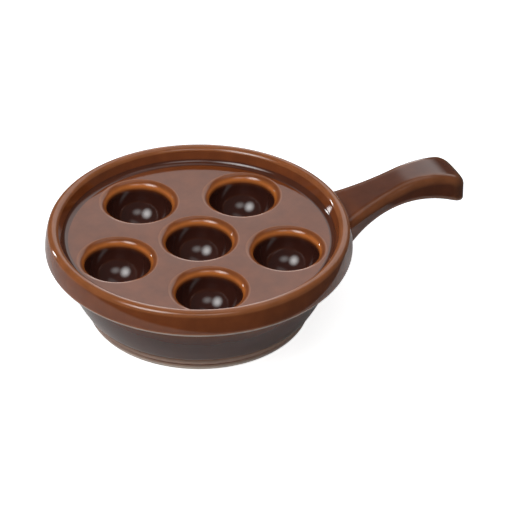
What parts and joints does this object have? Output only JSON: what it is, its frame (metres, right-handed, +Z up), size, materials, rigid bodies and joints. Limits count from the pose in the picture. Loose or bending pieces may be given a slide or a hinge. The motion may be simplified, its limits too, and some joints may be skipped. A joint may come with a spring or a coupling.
{
  "type": "escargot dish",
  "caption": "Round handled serving dish in brown glazed stoneware, with a rolled rim and round-bottomed wells sunk in its deck for baking and serving snails.",
  "frame": {"origin": "centre of the foot ring on the table", "axes": "+Z up, +X along the handle away from the dish, +Y to the left of the handle"},
  "size_m": [0.2195, 0.152, 0.0483],
  "materials": {
    "glazed_stoneware": "glossy translucent brown glaze, amber where it is thin on lips and ridges and nearly black where it pools in the wells"
  },
  "bodies": {
    "root": {"escargot_dish": "glazed_stoneware"}
  },
  "joints": []
}
